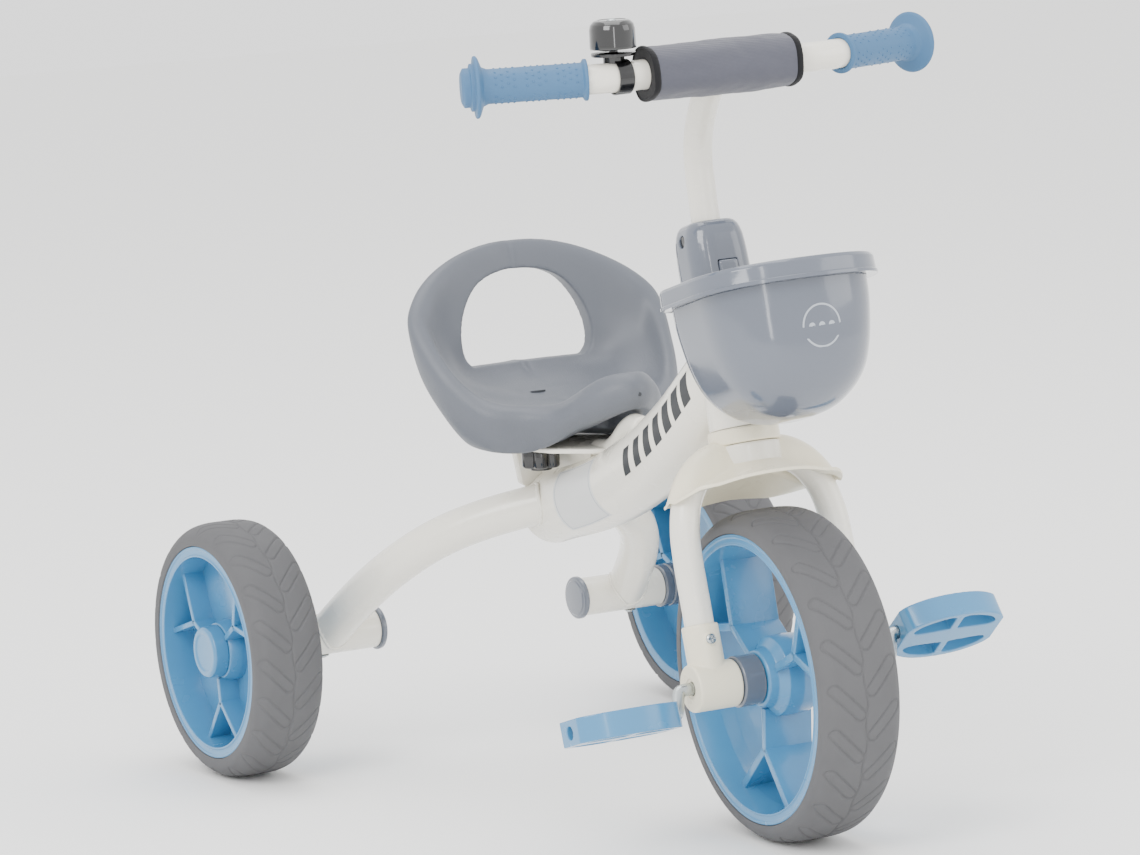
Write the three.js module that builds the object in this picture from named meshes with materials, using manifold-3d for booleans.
// Children's pedal tricycle: steel frame, direct-drive front wheel, two rear
// wheels, blow-moulded seat, front basket, swept handlebar. Millimetres, +Z up.
// The trike faces -Y, the rider's left is +X. Origin: on the ground, under the
// middle of the overall box.
import * as THREE from 'three';
import { mergeVertices } from 'three/addons/utils/BufferGeometryUtils.js';
import Module from 'manifold-3d';

const wasm = await Module();
wasm.setup();

// ---------------------------------------------------------------- dimensions
const ORIGIN_Y = 230.15;          // front axle sits this far in front of the origin
const AXIS_LEAN = 15.03;         // steering axis leans back, degrees
const STEER_REST = -4.03;        // steering angle of the rest pose, degrees
const FRONT_AXLE_Z = 125.17;
const FRONT_TYRE_R = 125.0;      // across the tread flats
const FRONT_TYRE_HALF_W = 33.0;
const FRONT_RIM_R = 109.6;
const FRONT_RIM_HALF_W = 32.0;
const REAR_TRACK_HALF = 221.5;
const REAR_AXLE_Y = 482.4;       // behind the front axle
const REAR_TYRE_R = 103.3;
const REAR_TYRE_HALF_W = 30.0;
const REAR_RIM_R = 86.0;
const TYRE_FACETS = 32;
const MAIN_TUBE_R = 29.5;
const MAIN_TUBE_WALL = 2.0;
const HEAD_TUBE_R = 25.0;
const HEAD_TUBE_S0 = 187.3;      // distances along the steering axis from the front axle
const HEAD_TUBE_S1 = 283.0;
const ARM_TUBE_R = 16.2;
const STUB_R = 15.9;
const FORK_TUBE_R = 11.2;
const FORK_HALF_W = 63.8;
const BAR_R = 11.2;
const BAR_Y = 56.5;              // straight-ahead position of the bar's middle part
const BAR_Z = 578.0;
const BAR_BEND_X = 88.0;
const BAR_SWEEP = 19.5;          // degrees
const CRANK_R = 19.3;            // crank throw
const PEDAL_X = 144.5;           // pedal centre
const ROD_R = 4.8;
const GAP = 0.35;                // assembly clearance between touching pieces

// ------------------------------------------------------------------- finishes
const paint = () => new THREE.MeshStandardMaterial({ color: 0xe9e5d8, roughness: 0.32, metalness: 0.0 });
const creamPlastic = () => new THREE.MeshStandardMaterial({ color: 0xe8e2cc, roughness: 0.38, metalness: 0.0 });
const greyPlastic = () => new THREE.MeshStandardMaterial({ color: 0x7e858f, roughness: 0.3, metalness: 0.0 });
const greyMatt = () => new THREE.MeshStandardMaterial({ color: 0x7d8189, roughness: 0.6, metalness: 0.0 });
const blue = () => new THREE.MeshStandardMaterial({ color: 0x6ba5c9, roughness: 0.35, metalness: 0.0 });
const blueRubber = () => new THREE.MeshStandardMaterial({ color: 0x6f9fc4, roughness: 0.6, metalness: 0.0 });
const tyreFoam = () => new THREE.MeshStandardMaterial({ color: 0x8b8a8c, roughness: 0.75, metalness: 0.0 });
const black = () => new THREE.MeshStandardMaterial({ color: 0x141416, roughness: 0.3, metalness: 0.0 });
const zinc = () => new THREE.MeshStandardMaterial({ color: 0xb9c0c2, roughness: 0.28, metalness: 0.9 });
const fabric = () => new THREE.MeshStandardMaterial({ color: 0x77757f, roughness: 0.9, metalness: 0.0 });
const nylon = () => new THREE.MeshStandardMaterial({ color: 0xd8d6cc, roughness: 0.5, metalness: 0.0 });

// -------------------------------------------------------------------- helpers
const rad = (d) => d * Math.PI / 180;
const V = (x, y, z) => new THREE.Vector3(x, y, z);

// closed, indexed, outward-facing copy of a geometry
function solid(geo) {
  let g = geo.clone();
  for (const n of Object.keys(g.attributes)) if (n !== 'position') g.deleteAttribute(n);
  g = mergeVertices(g, 1e-3);
  const src = g.index.array, idx = [];
  for (let i = 0; i < src.length; i += 3) {
    const [a, b, c] = [src[i], src[i + 1], src[i + 2]];
    if (a !== b && b !== c && a !== c) idx.push(a, b, c);
  }
  const p = g.attributes.position.array;
  let vol = 0;
  for (let i = 0; i < idx.length; i += 3) {
    const [a, b, c] = [idx[i] * 3, idx[i + 1] * 3, idx[i + 2] * 3];
    vol += p[a] * (p[b + 1] * p[c + 2] - p[b + 2] * p[c + 1])
      - p[a + 1] * (p[b] * p[c + 2] - p[b + 2] * p[c])
      + p[a + 2] * (p[b] * p[c + 1] - p[b + 1] * p[c]);
  }
  if (vol < 0) for (let i = 0; i < idx.length; i += 3) [idx[i + 1], idx[i + 2]] = [idx[i + 2], idx[i + 1]];
  g.setIndex(idx);
  return g;
}
function toM(geo) {
  const g = solid(geo);
  return new wasm.Manifold(new wasm.Mesh({
    numProp: 3,
    vertProperties: new Float32Array(g.attributes.position.array),
    triVerts: new Uint32Array(g.index.array),
  }));
}
function fromM(m) {
  const me = m.getMesh();
  const g = new THREE.BufferGeometry();
  g.setAttribute('position', new THREE.BufferAttribute(new Float32Array(me.vertProperties), 3));
  g.setIndex(new THREE.BufferAttribute(new Uint32Array(me.triVerts), 1));
  return g;
}
function cut(geo, ...tools) { let m = toM(geo); for (const t of tools) m = m.subtract(toM(t)); return fromM(m); }
function join(geo, ...more) { let m = toM(geo); for (const t of more) m = m.add(toM(t)); return fromM(m); }
function keep(geo, tool) { return fromM(toM(geo).intersect(toM(tool))); }

// turned body: profile of [radius, distance] from `at`, along `dir`
function turned(profile, seg, at, dir, phase = 0) {
  const pts = profile.map(([r, t]) => new THREE.Vector2(r, t));
  const g = new THREE.LatheGeometry(pts, seg);
  g.rotateY(phase);
  g.applyQuaternion(new THREE.Quaternion().setFromUnitVectors(V(0, 1, 0), dir.clone().normalize()));
  g.translate(at.x, at.y, at.z);
  return solid(g);
}
function rod(r, a, b, seg = 16) {
  const d = b.clone().sub(a), L = d.length();
  return turned([[0, 0], [r, 0], [r, L], [0, L]], seg, a, d);
}
function ring(ro, ri, a, b, seg = 32) {
  const d = b.clone().sub(a), L = d.length();
  return turned([[ri, 0], [ro, 0], [ro, L], [ri, L], [ri, 0]], seg, a, d);
}
function ball(r, c) { const g = new THREE.SphereGeometry(r, 10, 6); g.translate(c.x, c.y, c.z); return solid(g); }
function box(x0, x1, y0, y1, z0, z1) {
  const g = new THREE.BoxGeometry(x1 - x0, y1 - y0, z1 - z0);
  g.translate((x0 + x1) / 2, (y0 + y1) / 2, (z0 + z1) / 2);
  return solid(g);
}
function circleShape(r, n) {
  const s = new THREE.Shape();
  for (let i = 0; i < n; i++) { const a = 2 * Math.PI * (i + 0.5) / n; (i ? s.lineTo(r * Math.cos(a), r * Math.sin(a)) : s.moveTo(r * Math.cos(a), r * Math.sin(a))); }
  s.closePath();
  return s;
}
// round tube body along a smooth path
function sweep(points, r, sides = 20, steps = 18) {
  const path = new THREE.CatmullRomCurve3(points, false, 'centripetal');
  return solid(new THREE.ExtrudeGeometry(circleShape(r, sides), { steps, bevelEnabled: false, extrudePath: path }));
}
function hollowSweep(points, r, wall, sides = 20, steps = 18) {
  const path = new THREE.CatmullRomCurve3(points, false, 'centripetal');
  const sh = circleShape(r, sides);
  const hole = new THREE.Path();
  for (let i = 0; i < sides; i++) { const a = -2 * Math.PI * (i + 0.5) / sides, q = r - wall; (i ? hole.lineTo(q * Math.cos(a), q * Math.sin(a)) : hole.moveTo(q * Math.cos(a), q * Math.sin(a))); }
  hole.closePath();
  sh.holes.push(hole);
  return solid(new THREE.ExtrudeGeometry(sh, { steps, bevelEnabled: false, extrudePath: path }));
}
// flat outline [[u,v]...] extruded from w0 to w1; (u,v,w) mapped by `map`
function prism(outline, w0, w1, map) {
  const s = new THREE.Shape(outline.map(([u, v]) => new THREE.Vector2(u, v)));
  const g = new THREE.ExtrudeGeometry(s, { depth: w1 - w0, bevelEnabled: false });
  g.translate(0, 0, w0);
  const p = g.attributes.position;
  for (let i = 0; i < p.count; i++) { const q = map(p.getX(i), p.getY(i), p.getZ(i)); p.setXYZ(i, q.x, q.y, q.z); }
  return solid(g);
}
// body through a stack of equal-count rings of points
function loft(rings) {
  const n = rings[0].length, pos = [], idx = [];
  for (const r of rings) for (const q of r) pos.push(q.x, q.y, q.z);
  for (let k = 0; k + 1 < rings.length; k++) for (let i = 0; i < n; i++) {
    const a = k * n + i, b = k * n + (i + 1) % n, c = a + n, d = b + n;
    idx.push(a, b, d, a, d, c);
  }
  for (const [k, flip] of [[0, true], [rings.length - 1, false]]) {
    const c = rings[k].reduce((s, q) => s.add(q), V(0, 0, 0)).multiplyScalar(1 / n), ci = pos.length / 3;
    pos.push(c.x, c.y, c.z);
    for (let i = 0; i < n; i++) { const a = k * n + i, b = k * n + (i + 1) % n; flip ? idx.push(b, a, ci) : idx.push(a, b, ci); }
  }
  const g = new THREE.BufferGeometry();
  g.setAttribute('position', new THREE.BufferAttribute(new Float32Array(pos), 3));
  g.setIndex(idx);
  return solid(g);
}
const mirrorX = (geo) => { const g = geo.clone(); g.scale(-1, 1, 1); return solid(g); };

// -------------------------------------------------------------- scene groups
const trike = new THREE.Group();
trike.name = 'tricycle';
trike.position.set(0, -ORIGIN_Y, 0);
// pieces on the leaning axis but not turning with the fork
const leaned = new THREE.Group();
leaned.position.set(0, 0, FRONT_AXLE_Z);
leaned.rotation.set(rad(-AXIS_LEAN), 0, 0);
trike.add(leaned);
// everything that turns with the fork; local x across, y backward, z along the axis
const fork = new THREE.Group();
fork.position.set(0, 0, FRONT_AXLE_Z);
fork.rotation.set(rad(-AXIS_LEAN), 0, rad(STEER_REST));
trike.add(fork);
// handlebar pieces, laid out upright relative to the front axle
const bars = new THREE.Group();
bars.rotation.set(rad(AXIS_LEAN), 0, 0);
fork.add(bars);

function put(group, name, geo, mat) {
  const g = solid(geo);
  g.computeVertexNormals();
  const m = new THREE.Mesh(g, mat);
  m.name = name;
  group.add(m);
  return m;
}
const leanM = new THREE.Matrix4().makeTranslation(0, 0, FRONT_AXLE_Z).multiply(new THREE.Matrix4().makeRotationX(rad(-AXIS_LEAN)));

// ===================================================================== FRAME
const S = V(0, 0, 1);
const headCutter = rod(HEAD_TUBE_R + GAP, V(0, 0, 150), V(0, 0, 330), 20);
headCutter.applyMatrix4(leanM);
const mainPath = [[344, 209.7], [324.6, 215], [292, 223.2], [259.3, 232.6], [230, 243.2], [204.6, 254.9], [178, 268.3], [153.8, 282.2], [130, 297.8], [109.7, 313.0], [85, 333], [61, 352.3]]
  .map(([y, z]) => V(0, y, z));
const mainSolid = (r) => sweep(mainPath, r, 18, 10);
put(trike, 'main_tube', cut(hollowSweep(mainPath, MAIN_TUBE_R, MAIN_TUBE_WALL, 18, 10), headCutter), paint());
const endDir = V(0, 0.9647, -0.2634);
put(trike, 'main_tube_end_cap', turned([[0, -6], [MAIN_TUBE_R - MAIN_TUBE_WALL - GAP, -6], [MAIN_TUBE_R - MAIN_TUBE_WALL - GAP, GAP], [MAIN_TUBE_R - 0.4, GAP], [MAIN_TUBE_R - 0.6, 3], [26.5, 6.6], [19, 8.6], [0, 9.2]], 18, V(0, 344, 209.7), endDir), paint());

put(leaned, 'head_tube', ring(HEAD_TUBE_R, HEAD_TUBE_R - 3, V(0, 0, HEAD_TUBE_S0), V(0, 0, HEAD_TUBE_S1), 20), paint());
put(leaned, 'headset_lower_ring', turned([[13.2, 0], [26.4, 0], [27.2, 1.2], [27.2, 10.6], [26.2, 11.8], [13.2, 11.8], [13.2, 0]], 20, V(0, 0, 175.1), S), creamPlastic());
put(leaned, 'headset_lower_bush', ring(HEAD_TUBE_R - 3.8 - GAP, 12.8, V(0, 0, HEAD_TUBE_S0 + 0.5), V(0, 0, HEAD_TUBE_S0 + 16), 16), nylon());
put(leaned, 'headset_upper_bush', ring(HEAD_TUBE_R - 3.8 - GAP, 12.8, V(0, 0, HEAD_TUBE_S1 - 16), V(0, 0, HEAD_TUBE_S1), 16), nylon());

// rear arms, stub tubes, axles
const armPts = [[20, 325.5, 217.2], [35.3, 337.3, 212.7], [50.5, 349.1, 207.7], [65.2, 360.9, 201.8], [79.4, 372.7, 194.8], [92.9, 384.3, 186.2], [105.0, 396.3, 176.0], [115.0, 409.0, 165.0], [122.8, 422.6, 153.4], [128.9, 436.9, 141.3], [133.6, 451.8, 128.8], [137.5, 467.0, 116.1], [140.0, 478.4, 106.6]]
  .map(([x, y, z]) => V(x, y, z));
const axleAt = (x) => V(x, REAR_AXLE_Y, REAR_TYRE_R);
const stubCutter = rod(STUB_R + GAP, axleAt(80), axleAt(200), 20);
const mainGrown = mainSolid(MAIN_TUBE_R + GAP + 0.15);
const capGrown = turned([[0, -8], [MAIN_TUBE_R + 0.5, -8], [MAIN_TUBE_R + 0.5, 3.6], [27.4, 7.2], [19.6, 9.2], [0, 9.8]], 18, V(0, 344, 209.7), V(0, 0.9647, -0.2634));
const arm = cut(sweep(armPts, ARM_TUBE_R, 16, 10), mainGrown, capGrown, stubCutter);
const STUB_X0 = 98, STUB_X1 = 172;
for (const [side, sg] of [['left', 1], ['right', -1]]) {
  const M = (g) => (sg > 0 ? g : mirrorX(g));
  put(trike, `rear_arm_${side}`, M(arm), paint());
  const down = V(0, 0, -1);
  const holes = [145].map((x) => rod(2.4, V(x, REAR_AXLE_Y, REAR_TYRE_R - 8), V(x, REAR_AXLE_Y, REAR_TYRE_R - 22), 10));
  put(trike, `stub_tube_${side}`, M(cut(ring(STUB_R, STUB_R - 2, axleAt(STUB_X0), axleAt(STUB_X1), 20), ...holes)), paint());
  put(trike, `stub_cap_${side}`, M(cut(turned([[0, 0], [16.4, 0], [17.8, 1.2], [18, 4.8], [17.2, 5.7], [13.2, 5.7], [13.2, 20], [0, 20]], 16, axleAt(92), V(1, 0, 0)), rod(5.3, axleAt(99), axleAt(120), 12))), greyPlastic());
  put(trike, `stub_spacer_${side}`, M(turned([[5.3, -22], [13.2, -22], [13.2, GAP], [18, GAP], [18, 16.5], [17, 18], [5.3, 18], [5.3, -22]], 16, axleAt(STUB_X1), V(1, 0, 0))), greyPlastic());
  put(trike, `rear_axle_${side}`, M(turned([[0, 0], [5, 0], [5, 138.9], [8.6, 138.9], [8.6, 142.2], [0, 142.2]], 12, axleAt(100.5), V(1, 0, 0))), zinc());
  [145].forEach((x) => put(trike, `stub_screw_${side}`, M(turned([[0, 0], [2.0, 0], [2.0, 6.2], [3.6, 6.2], [3.6, 7.6], [2.6, 8.6], [0, 8.6]], 10, V(x, REAR_AXLE_Y, REAR_TYRE_R - STUB_R + 5.8), down)), zinc()));
}

// seat support: gusset, spine and slotted plate
const gussetPlate = prism([[-36, 265.3], [36, 265.3], [30, 232], [20, 226], [-20, 226], [-30, 232]].map(([x, z]) => [x, z]), 341, 349, (u, v, w) => V(u, w, v));
const spine = box(-11.5, 11.5, 262, 342, 230, 265.3);
put(trike, 'seat_gusset', cut(join(gussetPlate, spine), mainGrown, capGrown), paint());
const plate = prism([[46, 350], [50, 332], [50, 292], [42, 270], [20, 246], [8, 240], [-8, 240], [-20, 246], [-42, 270], [-50, 292], [-50, 332], [-46, 350]], 265.7, 269.7, (u, v, w) => V(u, v, w));
const curl = sweep([[266, 264.5], [248, 267], [233, 275], [221, 285], [210, 290.5], [199, 290]].map(([y, z]) => V(0, y, z)), 9, 12, 8);
const slot = (sx) => join(box(sx * 32 - 3.6, sx * 32 + 3.6, 305, 323.5, 260, 275), rod(3.6, V(sx * 32, 305, 260), V(sx * 32, 305, 275), 10), rod(3.6, V(sx * 32, 323.5, 260), V(sx * 32, 323.5, 275), 10));
const curlTrim = box(-12, 12, 240, 300, 240, 265.65);
put(trike, 'seat_bracket', cut(join(plate, cut(curl, curlTrim)), mainGrown, slot(1), slot(-1)), paint());

// ====================================================================== SEAT
const SEAT_C = V(0, 300, 0);
// angle from straight back, then [radius, height] of each line round the seat
const SEAT_T = {
  a: [0, 17, 32, 45, 55, 62, 73, 85, 97, 110, 122, 135, 150, 167, 180],
  panEdge: [[76, 323], [79, 322], [85, 321], [88, 320], [84, 318], [78, 314], [70, 307], [62, 303], [52, 302], [46, 302], [42, 303], [42, 305], [48, 312], [66, 324], [74, 327]],
  inner: [[85, 362], [88, 361], [94, 358], [101, 352], [104, 345], [103, 336], [92, 320], [79, 309], [66, 305], [56, 304], [49, 304], [50, 306], [58, 314], [74, 328], [82, 331]],
  crestIn: [[93, 414], [95, 412], [101, 405], [108, 393], [113, 380], [116, 366], [104, 337], [90, 316], [77, 306], [63, 303], [56, 303], [57, 304], [66, 313], [82, 328], [90, 331.5]],
  crest: [[102, 420], [104, 418], [110.5, 411], [119, 399.5], [125, 386], [127, 371], [112, 338], [97, 314], [85, 303.5], [69, 300], [63, 299.5], [64, 300.5], [75, 309], [90, 321], [98, 325]],
  out: [[107, 408], [109, 405], [115, 398], [123, 386], [129, 373], [130.5, 360], [116, 328], [100, 306], [89, 296], [72, 293], [66, 293], [68, 293.5], [78, 301], [92, 311], [101, 315]],
  side: [[103, 366], [105, 363], [111, 356], [117, 344], [121, 333], [121, 321], [109, 301], [96, 287], [85, 281], [70, 280], [63, 281], [65, 285], [73, 293], [89, 303], [99, 308]],
  low: [[84, 309], [86, 307], [92, 303], [96, 298], [98, 293], [98, 287], [97, 280], [88, 273], [78, 269], [66, 268.5], [57, 271], [58, 277], [66, 287], [85, 298], [96, 304]],
  edge: [[62, 273], [63, 272.5], [67, 272], [72, 271], [77, 270.5], [81, 270], [83, 269], [77, 267.5], [69, 267], [60, 267.5], [53, 271], [54, 276.5], [62, 285.5], [81, 296], [92, 303]],
  under: [[48, 270.2], [48, 270.2], [50, 270.2], [52, 270.2], [55, 270.2], [57, 270.2], [58, 270.2], [55, 270.2], [50, 270.2], [44, 270.2], [38, 272], [38, 275], [44, 281], [60, 289], [70, 295]],
};
function seatPoint(line, deg) {
  const A = SEAT_T.a, P = SEAT_T[line], d = Math.min(deg, 360 - deg);
  let k = 0; while (k < A.length - 2 && d > A[k + 1]) k++;
  const t = (d - A[k]) / (A[k + 1] - A[k]);
  const p = (i) => (i < 0 ? P[-i] : i >= P.length ? P[2 * P.length - 2 - i] : P[i]);
  const cr = (i) => { const [a, b, c, e] = [p(k - 1)[i], p(k)[i], p(k + 1)[i], p(k + 2)[i]];
    return 0.5 * (2 * b + (c - a) * t + (2 * a - 5 * b + 4 * c - e) * t * t + (3 * b - a - 3 * c + e) * t * t * t); };
  const r = cr(0), z = cr(1), s = deg > 180 ? -1 : 1, q = rad(d);
  return V(s * r * Math.sin(q), SEAT_C.y + r * Math.cos(q), z);
}
function seatBody(n) {
  const lines = ['panEdge', 'inner', 'crestIn', 'crest', 'out', 'side', 'low', 'edge', 'under'];
  const rings = lines.map((L) => Array.from({ length: n }, (_, i) => seatPoint(L, 360 * i / n)));
  const pan2 = Array.from({ length: n }, (_, i) => { const q = seatPoint('panEdge', 360 * i / n); return V(q.x * 0.5, 300 + (q.y - 300) * 0.5, 301 + (q.z - 302) * 0.32); });
  return loft([pan2, ...rings]);
}
const holeOutline = [[-51, 324.5], [51, 324.5], [57, 331], [59.5, 345], [57, 360], [50, 375], [38.5, 388], [22, 395.5], [0, 398], [-22, 395.5], [-38.5, 388], [-50, 375], [-57, 360], [-59.5, 345], [-57, 331]];
const backHole = prism(holeOutline, 340, 450, (u, v, w) => V(u, w, v));
const notch = prism([[-14, 240], [14, 240], [14, 291], [9, 300], [0, 303.5], [-9, 300], [-14, 291]], 150, 276, (u, v, w) => V(u, w, v));
const boltHoles = [32, -32].map((x) => rod(3.3, V(x, 305, 262), V(x, 305, 291), 12));
put(trike, 'seat_shell', cut(seatBody(36), backHole, notch, ...boltHoles, mainSolid(MAIN_TUBE_R + 2.5), box(-52, 52, 236, 372, 255, 270.05)), greyMatt());
for (const [side, x] of [['left', 32], ['right', -32]]) {
  put(trike, `seat_bolt_${side}`, rod(2.9, V(x, 305, 247.6), V(x, 305, 290), 12), zinc());
  const star = [];
  for (let i = 0; i < 24; i++) { const a = 2 * Math.PI * i / 24, r = 15.2 + 1.5 * Math.cos(6 * a); star.push([r * Math.cos(a), r * Math.sin(a)]); }
  put(trike, `seat_knob_${side}`, cut(join(prism(star, 250.5, 265.2, (u, v, w) => V(x + u, 305 + v, w)), rod(9, V(x, 305, 248), V(x, 305, 251), 20)), rod(3.2, V(x, 305, 240), V(x, 305, 270), 12)), black());
}

// =============================================================== REAR WHEELS
function tyre(R, ri, hw, phase) {
  const k = 1 / Math.cos(Math.PI / TYRE_FACETS);
  const pr = [[ri, -hw + 0.4], [R - 7.5, -hw], [R - 2.2, -hw + 9], [R, -10], [R, 10], [R - 2.2, hw - 9], [R - 7.5, hw], [ri, hw - 0.4], [ri, -hw + 0.4]];
  const g = turned(pr.map(([r, t]) => [r * k, t]), TYRE_FACETS, V(0, 0, 0), V(1, 0, 0));
  g.rotateX(phase + Math.PI / TYRE_FACETS);
  return g;
}
// Y-shaped ribs round a hub; x0..x1 across
function ribs(x0, x1, rHub, rFork, rEnd, thick, count, turn) {
  const out = [];
  for (let i = 0; i < count; i++) {
    const base = turn + 360 * i / count;
    const arm1 = (a0, r0, a1, r1) => {
      const p = V(0, r0 * Math.sin(rad(a0)), r0 * Math.cos(rad(a0))), q = V(0, r1 * Math.sin(rad(a1)), r1 * Math.cos(rad(a1)));
      const d = q.clone().sub(p), L = d.length(), g = new THREE.BoxGeometry(x1 - x0, thick, L);
      g.applyQuaternion(new THREE.Quaternion().setFromUnitVectors(V(0, 0, 1), d.clone().normalize()));
      const m = p.clone().add(q).multiplyScalar(0.5);
      g.translate((x0 + x1) / 2, m.y, m.z);
      return solid(g);
    };
    out.push(arm1(base, rHub - 3, base, rFork), arm1(base, rFork - 1.5, base - 21, rEnd + 3), arm1(base, rFork - 1.5, base + 21, rEnd + 3));
  }
  return out;
}
const at0 = V(0, 0, 0), X = V(1, 0, 0);
const rearRim = (() => {
  const hw = 28.8;
  const barrel = turned([[77.5, -hw], [REAR_RIM_R, -hw], [REAR_RIM_R, hw], [77.5, hw], [75.5, 0], [77.5, -hw]], 24, at0, X);
  const web = ring(76.4, 20, V(-3, 0, 0), V(3, 0, 0), 24);
  const hub = turned([[5.4, -30.3], [17, -30.3], [21, -27], [25, -8], [25, 8], [22.5, 17.6], [5.4, 17.6], [5.4, -30.3]], 15, at0, X);
  return join(barrel, web, hub, ...ribs(-20, 20, 25, 43, 74, 5, 3, 65));
})();
for (const [side, sg] of [['left', 1], ['right', -1]]) {
  const M = (g) => (sg > 0 ? g : mirrorX(g));
  const place = (g) => { const h = M(g).clone(); h.translate(sg * REAR_TRACK_HALF, REAR_AXLE_Y, REAR_TYRE_R); return h; };
  put(trike, `rear_tyre_${side}`, place(tyre(REAR_TYRE_R, REAR_RIM_R + GAP, REAR_TYRE_HALF_W, 0)), tyreFoam());
  put(trike, `rear_rim_${side}`, place(rearRim), blue());
  put(trike, `rear_hub_cap_${side}`, place(turned([[0, 29.4], [14.5, 29.4], [15.2, 30.3], [19, 30.3], [20.5, 28.5], [21.5, 18.0], [18.6, 18.0], [18.6, 26.9], [0, 26.9]], 16, at0, X)), blue());
}

// =============================================================== FORK GROUP
const legPts = [[FORK_HALF_W, 20], [FORK_HALF_W, 60], [FORK_HALF_W, 95], [62.2, 117], [56.5, 138], [46, 153.5], [33, 162.5], [18, 166.5]].map(([x, s]) => V(x, 0, s));
const legSolid = (r) => sweep(legPts, r, 14, 12);
const neckGrown = join(rod(26 + GAP, V(0, 0, 140), V(0, 0, 174.7), 20), rod(27.8, V(0, 0, 174.6), V(0, 0, 195), 20));
put(fork, 'fork_crown', turned([[11.4, 0], [24.6, 0], [26, 1.6], [26, 15.6], [25, 17], [12.5, 17], [12.5, 148.3], [11.4, 148.3], [11.4, 0]], 20, V(0, 0, 157.7), S), paint());
const screwY = -13.9;
for (const [side, sg] of [['left', 1], ['right', -1]]) {
  const M = (g) => (sg > 0 ? g : mirrorX(g));
  const footHole = rod(2.2, V(FORK_HALF_W, -30, 34), V(FORK_HALF_W, 0, 34), 10);
  put(fork, `fork_leg_${side}`, M(cut(sweep(legPts, FORK_TUBE_R, 14, 12), neckGrown, footHole)), paint());
  const foot = cut(join(
    turned([[0, 0], [17.4, 0], [18, 1.2], [18, 34.8], [17.4, 36], [0, 36]], 18, V(44.2, 0, 0), X),
    turned([[0, 0], [13.9, 0], [13.9, 44], [0, 44]], 16, V(FORK_HALF_W, 0, 2), S)),
    rod(FORK_TUBE_R + GAP, V(FORK_HALF_W, 0, 19.6), V(FORK_HALF_W, 0, 70), 16), rod(5.3, V(30, 0, 0), V(90, 0, 0), 12), footHole);
  put(fork, `fork_foot_${side}`, M(foot), creamPlastic());
  put(fork, `fork_foot_screw_${side}`, M(turned([[0, 0], [1.8, 0], [1.8, 9], [4, 9], [4, 10.4], [3, 11.4], [0, 11.4]], 10, V(FORK_HALF_W, screwY + 8.6, 34), V(0, -1, 0))), zinc());
  put(fork, `axle_bush_${side}`, M(turned([[5.15, 0], [18.8, 0], [19.5, 0.8], [19.5, 17], [18.6, 18.0], [5.15, 18.0], [5.15, 0]], 16, V(25.7, 0, 0), X)), greyPlastic());
}

// mudguard over the fork shoulders
function mudguardHeight(x, f) {
  const ax = Math.abs(x);
  const rim = [[50, 147.5], [30, 146], [0, 143], [-28, 140], [-41, 136.5]];
  let e = rim[rim.length - 1][1];
  for (let i = 0; i + 1 < rim.length; i++) if (f <= rim[i][0] && f >= rim[i + 1][0]) { const t = (f - rim[i + 1][0]) / (rim[i][0] - rim[i + 1][0]); e = rim[i + 1][1] + t * (rim[i][1] - rim[i + 1][1]); }
  if (f > 50) e = 147.5;
  const d = Math.min(1, Math.max(0, (Math.hypot(x, f < 0 ? f * 1.25 : f) - 24) / 34));
  let base = e + (161.5 - e) * (1 - d) * (1 - 0.35 * d);
  base -= Math.max(0, ax - 58) * 0.35;
  // shoulder bulge
  const path = [[18, 166.5], [33, 162.5], [46, 153.5], [56.5, 138], [62.2, 117]];
  const R = FORK_TUBE_R + 3.4;
  let top = -1;
  if (Math.abs(f) < R) {
    for (let i = 0; i + 1 < path.length; i++) {
      for (let k = 0; k <= 8; k++) {
        const t = k / 8, cx = path[i][0] + t * (path[i + 1][0] - path[i][0]), cs = path[i][1] + t * (path[i + 1][1] - path[i][1]);
        const h2 = R * R - f * f - (ax - cx) * (ax - cx);
        if (h2 > 0) top = Math.max(top, cs + Math.sqrt(h2));
      }
    }
  }
  return Math.max(base, top);
}
const guardEdge = [[0, 50], [13, 48], [26, 43.5], [38, 39], [50, 34.5], [62, 26], [69, 13], [71, 0], [69.5, -12], [63, -24], [50, -33], [34, -38], [17, -40.5], [0, -41]];
function guardOutline(n) {
  const pts = [...guardEdge.map(([x, f]) => [x, f]), ...guardEdge.slice(1, -1).reverse().map(([x, f]) => [-x, f])];
  const curve = new THREE.CatmullRomCurve3(pts.map(([x, f]) => V(x, f, 0)), true, 'centripetal');
  return curve.getPoints(n).slice(0, n).map((q) => [q.x, q.y]);
}
const mudguard = (() => {
  const n = 34, edge = guardOutline(n), rows = [0, 0.25, 0.5, 0.76, 1];
  const top = rows.map((t) => edge.map(([x, f]) => {
    const L = Math.hypot(x, f), r0 = 20, q = (r0 + (L - r0) * t) / L;
    return V(x * q, -f * q, mudguardHeight(x * q, f * q));
  }));
  const bottom = top.map((r) => r.map((q) => V(q.x, q.y, q.z - 2.4)));
  const rings = [...top, ...bottom.reverse()];
  const m = rings.length, pos = [], idx = [];
  for (const r of rings) for (const q of r) pos.push(q.x, q.y, q.z);
  for (let k = 0; k < m; k++) for (let i = 0; i < n; i++) {
    const a = k * n + i, b = k * n + (i + 1) % n, c = ((k + 1) % m) * n + i, d = ((k + 1) % m) * n + (i + 1) % n;
    idx.push(a, b, d, a, d, c);
  }
  const g = new THREE.BufferGeometry();
  g.setAttribute('position', new THREE.BufferAttribute(new Float32Array(pos), 3));
  g.setIndex(idx);
  return cut(g, neckGrown, legSolid(FORK_TUBE_R + 0.6), mirrorX(legSolid(FORK_TUBE_R + 0.6)));
})();
put(fork, 'mudguard', mudguard, creamPlastic());

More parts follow.
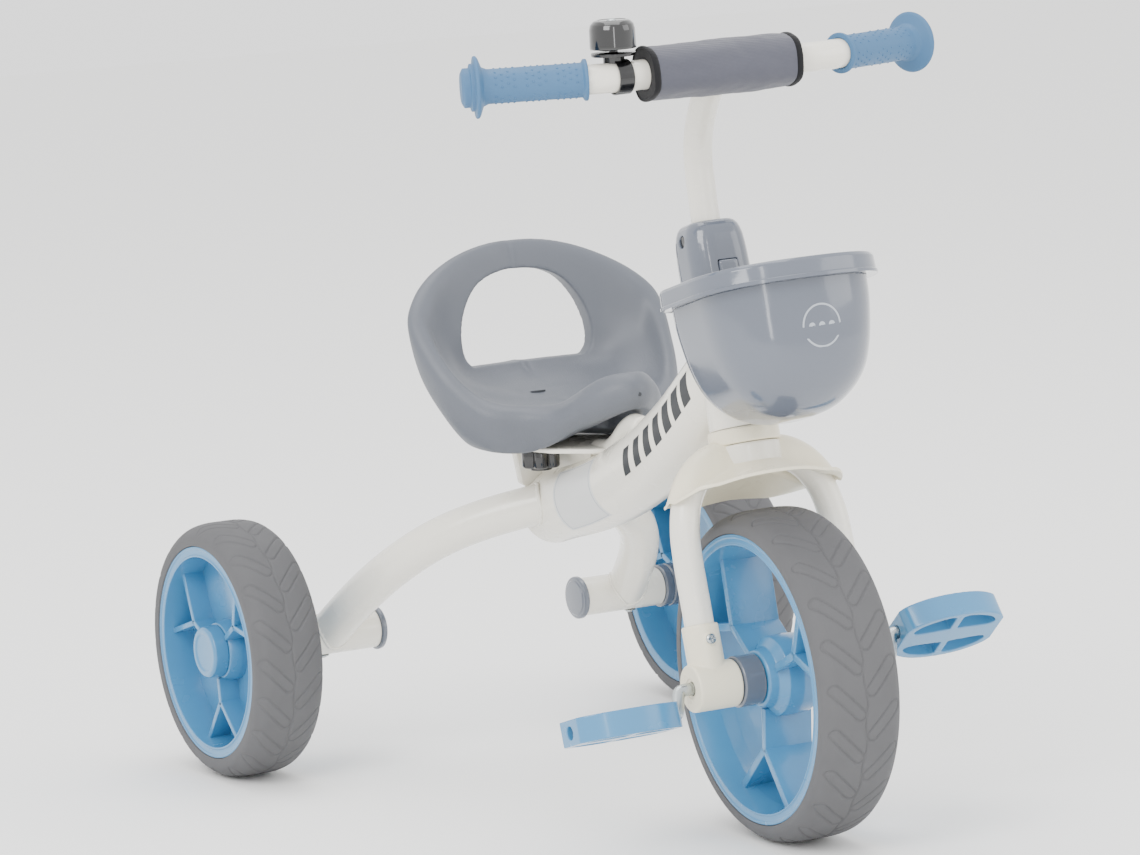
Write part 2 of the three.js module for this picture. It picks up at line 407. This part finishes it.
// ---------------------------------------------------------------- front wheel
put(fork, 'front_tyre', tyre(FRONT_TYRE_R, FRONT_RIM_R + GAP, FRONT_TYRE_HALF_W, rad(AXIS_LEAN)), tyreFoam());
const frontRimHalf = (() => {
  const hw = FRONT_RIM_HALF_W;
  const barrel = turned([[101.5, hw], [FRONT_RIM_R, hw], [FRONT_RIM_R, -0.5], [97.5, -0.5], [97.5, 12], [101.5, hw]], 25, at0, X);
  const hub = turned([[5.3, -0.5], [31, -0.5], [30, 12], [23, 17], [21.5, 24], [20.5, 25.2], [5.3, 25.2], [5.3, -0.5]], 15, at0, X);
  return join(barrel, hub, ...ribs(-0.5, 20, 27, 57, 98, 5.5, 3, 41));
})();
put(fork, 'front_rim', join(frontRimHalf, mirrorX(frontRimHalf)), blue());
// one bent steel rod: axle, both cranks and both pedal pins
const pinY = -7.1 * CRANK_R / 19.3, pinZ = -18.0 * CRANK_R / 19.3;
// round rod along a flat polyline, mitred at each bend
function mitred(points, r, sides, normal) {
  return loft(points.map((p, i) => {
    const a = (i ? p.clone().sub(points[i - 1]) : points[1].clone().sub(p)).normalize();
    const b = (i + 1 < points.length ? points[i + 1].clone().sub(p) : a.clone()).normalize();
    const t = a.clone().add(b).normalize(), side = t.clone().cross(normal).normalize(), k = 1 / t.dot(a);
    return Array.from({ length: sides }, (_, q) => { const w = 2 * Math.PI * q / sides; return p.clone().addScaledVector(normal, r * Math.cos(w)).addScaledVector(side, r * k * Math.sin(w)); });
  }));
}
const pinLen = Math.hypot(pinY, pinZ);
const bend = (x, q) => V(x, pinY * q, pinZ * q);
const half = [bend(-180, 1), bend(-100.5, 1), bend(-97.6, 0.93), bend(-96.2, 0.8), bend(-91.3, 0.2), bend(-89.6, 0.06), bend(-87, 0)];
const rodGeo = mitred([...half, ...half.map((p) => V(-p.x, -p.y, -p.z)).reverse()], ROD_R, 12, V(0, pinZ / pinLen, -pinY / pinLen));
put(fork, 'crank_rod', rodGeo, zinc());

// pedals: slab with four windows, free on their pins
function pedalBody() {
  const outline = [[-42, -15], [-38, -20], [-24, -28], [-8, -31], [8, -31], [24, -28], [38, -20], [42, -15], [42, 15], [38, 20], [24, 28], [8, 31], [-8, 31], [-24, 28], [-38, 20], [-42, 15]];
  const map = (u, v, w) => V(u, v, w);
  let g = prism(outline, -9.6, 9.6, map);
  const win = (sx, sy) => prism([[sx * 3, sy * 9.5], [sx * 33, sy * 9.5], [sx * 35.5, sy * 13], [sx * 30, sy * 19.5], [sx * 18, sy * 25], [sx * 6, sy * 26.5], [sx * 3, sy * 24]].filter(Boolean), -20, 20, map);
  g = cut(g, win(1, 1), win(-1, 1), win(1, -1), win(-1, -1), rod(5.1, V(-60, 0, 0), V(60, 0, 0), 14));
  return g;
}
for (const [side, sg, tilt] of [['left', 1, 40], ['right', -1, 17]]) {
  const place = (g) => {
    const h = g.clone();
    h.rotateX(rad(AXIS_LEAN - tilt));
    h.translate(sg * PEDAL_X, -sg * pinY, -sg * pinZ);
    return h;
  };
  put(fork, `pedal_${side}`, place(pedalBody()), blue());
}

// ------------------------------------------------- stem, cover, clamp, button
const stemPts = [[0, 246], [0, 300], [0, 345], [-2, 372], [-5, 392], [-13, 411], [-28, 428], [-44, 441], [-56, 450]].map(([b, s]) => V(0, b, s));
const barLocal = (x) => { const v = V(x, BAR_Y, BAR_Z - FRONT_AXLE_Z); v.applyEuler(new THREE.Euler(rad(AXIS_LEAN), 0, 0)); return v; };
const barGrown = rod(BAR_R + GAP, barLocal(-70), barLocal(70), 16);
const stemScrewHole = rod(2.5, V(-40, 0, 332), V(40, 0, 332), 12);
put(fork, 'stem_tube', cut(sweep(stemPts, 11.0, 14, 14), barGrown, stemScrewHole), paint());
put(fork, 'stem_clamp', ring(15.4, 12.5 + GAP, V(0, 0, 291), V(0, 0, 305), 20), zinc());
function roundRect(hx, hy, r, n = 3) {
  const p = [];
  for (const [cx, cy, a0] of [[hx - r, hy - r, 0], [-hx + r, hy - r, 90], [-hx + r, -hy + r, 180], [hx - r, -hy + r, 270]])
    for (let i = 0; i <= n; i++) { const a = rad(a0 + 90 * i / n); p.push([cx + r * Math.cos(a), cy + r * Math.sin(a)]); }
  return p;
}
const coverRing = (k, s, grow = 0) => roundRect(24.6 * k + grow, 24.2 * k + grow, 17 * k).map(([x, b]) => V(x, b, s));
const cover = cut(loft([coverRing(1, 288.4), coverRing(1.0, 308), coverRing(0.985, 322), coverRing(0.95, 333), coverRing(0.86, 340.5), coverRing(0.7, 344.6)]),
  rod(16, V(0, 0, 280), V(0, 0, 311), 20), rod(11.5, V(0, 0, 300), V(0, 0, 360), 16),
  stemScrewHole, rod(4.7, V(-40, 0, 332), V(-19.5, 0, 332), 16), rod(4.7, V(40, 0, 332), V(19.5, 0, 332), 16),
  box(-8.2, 8.2, -30, -15.2, 296.6, 313));
put(fork, 'stem_cover', cover, greyPlastic());
put(fork, 'stem_cover_screw', turned([[0, 0], [4.3, 0], [4.3, 2.2], [2.1, 2.4], [2.1, 42], [0, 42]], 14, V(-22.0, 0, 332), X), zinc());
put(fork, 'release_button', loft([0, 1, 2].map((k) => roundRect([7.7, 7.7, 6.9][k], [7.7, 7.7, 6.9][k], 1.6, 2).map(([x, s]) => V(x, [-20.2, -25.6, -26.4][k], 304.8 + s)))), greyPlastic());

// --------------------------------------------------------------------- basket
function basketRing(inset, s, n = 26) {
  const w = 74.5 - inset, f0 = 28.2 + inset * 0.55, f1 = 92, d = 67 - inset, rc = 26 - inset * 0.3, e = 2 / 2.5, pts = [];
  const m = n / 2;
  for (let i = 0; i <= m; i++) { const a = Math.PI * i / m; pts.push([w * Math.sign(Math.cos(a)) * Math.abs(Math.cos(a)) ** e, f1 + d * Math.max(0, Math.sin(a)) ** e]); }
  const back = [[-w, f0 + rc]];
  for (let i = 0; i <= 4; i++) { const a = rad(180 + 90 * i / 4); back.push([-w + rc + rc * Math.cos(a), f0 + rc + rc * Math.sin(a)]); }
  for (let i = 0; i <= 4; i++) { const a = rad(270 + 90 * i / 4); back.push([w - rc + rc * Math.cos(a), f0 + rc + rc * Math.sin(a)]); }
  back.push([w, f0 + rc]);
  return [...pts, ...back.slice(1, -1)].map(([x, f]) => V(x, -f, s));
}
const RIM_S = 292.3;
const shellProfile = [[8.3, 276.6], [10.4, 249], [14.0, 229], [20.2, 211], [29, 198.5], [42, 188], [52, 183]];
const shellInner = [[10.8, 290], [10.8, 276.6], [13, 249], [16.8, 229.5], [23.4, 212.5], [32.5, 201], [44.5, 191.5], [52, 187]];
put(fork, 'basket_shell', cut(loft(shellProfile.map(([i, s]) => basketRing(i, s)).reverse()), loft(shellInner.map(([i, s]) => basketRing(i, s)).reverse())), greyPlastic());
put(fork, 'basket_rim', cut(loft([[0, 276.9], [0, 279], [0.9, 279.4], [1.2, 290.4], [2.6, 292.3]].map(([i, s]) => basketRing(i, s))), loft([[10.8, 270], [10.8, 300]].map(([i, s]) => basketRing(i, s)))), greyPlastic());

// ---------------------------------------------- handlebar, grips, pad and bell
// (coordinates upright, relative to the front axle)
const BZ = BAR_Z - FRONT_AXLE_Z;
const sw = rad(BAR_SWEEP);
const tip = (sg, d) => V(sg * (BAR_BEND_X + 4 + d * Math.cos(sw)), BAR_Y + d * Math.sin(sw), BZ);
const D_IN = 14.4, D_OUT = D_IN + 82.8;
const barPts = [tip(-1, D_OUT + 2), tip(-1, 60), tip(-1, 20), tip(-1, 6), V(-(BAR_BEND_X - 4), BAR_Y - 0.2, BZ), V(-60, BAR_Y, BZ), V(0, BAR_Y, BZ), V(60, BAR_Y, BZ), V(BAR_BEND_X - 4, BAR_Y - 0.2, BZ), tip(1, 6), tip(1, 20), tip(1, 60), tip(1, D_OUT + 2)];
put(bars, 'handlebar', sweep(barPts, BAR_R, 14, 24), paint());
for (const [side, sg] of [['left', 1], ['right', -1]]) {
  const dir = tip(sg, 10).sub(tip(sg, 0)).normalize();
  put(bars, `grip_${side}`, turned([[BAR_R + GAP, 0], [15.5, 0.4], [15.5, 2.8], [12.9, 4.4], [12.9, 76], [23.3, 81.6], [23, 83.9], [17.7, 84.4], [17.7, 87], [14.7, 87.6], [14.7, 92], [11, 94], [0, 94], [0, 88], [BAR_R + GAP, 88], [BAR_R + GAP, 0]], 15, tip(sg, D_IN), dir), blueRubber());
}
const stemUp = sweep(stemPts, 12.6, 12, 12);
stemUp.applyMatrix4(new THREE.Matrix4().makeRotationX(rad(-AXIS_LEAN)));
put(bars, 'bar_pad', cut(turned([[BAR_R + 0.6, 0], [19, 0], [21.2, 2.5], [21.2, 119.5], [19, 122], [BAR_R + 0.6, 122], [BAR_R + 0.6, 0]], 20, V(-61, BAR_Y, BZ), X), stemUp), fabric());
const BELL_X = -81;
put(bars, 'bell_clamp', cut(join(rod(13.2, V(BELL_X - 6, BAR_Y, BZ), V(BELL_X + 6, BAR_Y, BZ), 20), turned([[0, 0], [8, 0], [8, 8], [16.6, 8.4], [16.8, 10.8], [3.4, 11], [3.2, 20], [0, 20]], 20, V(BELL_X - 3, BAR_Y + 3, BZ + 7.4), S)), rod(BAR_R + 0.9, V(BELL_X - 30, BAR_Y, BZ), V(BELL_X + 30, BAR_Y, BZ), 18)), black());
put(bars, 'bell_dome', turned([[3.6, 21.8], [12, 21.4], [15.4, 18.4], [15.6, 2], [17.3, 2], [17.2, 17], [15.6, 21], [12, 23.4], [3.6, 23.8], [3.6, 21.8]], 16, V(BELL_X - 3, BAR_Y + 3, BZ + 19.2), S), black());
put(bars, 'bell_lever', (() => {
  const arm = prism([[-3.5, 0], [3.5, 0], [4.5, 12], [6.5, 20], [4, 23], [-4, 23], [-6.5, 20], [-4.5, 12]], 0, 2.0, (u, v, w) => V(BELL_X - 3 + u, BAR_Y + 9 + v, BZ + 18.8 + w));
  return arm;
})(), black());

export default trike;
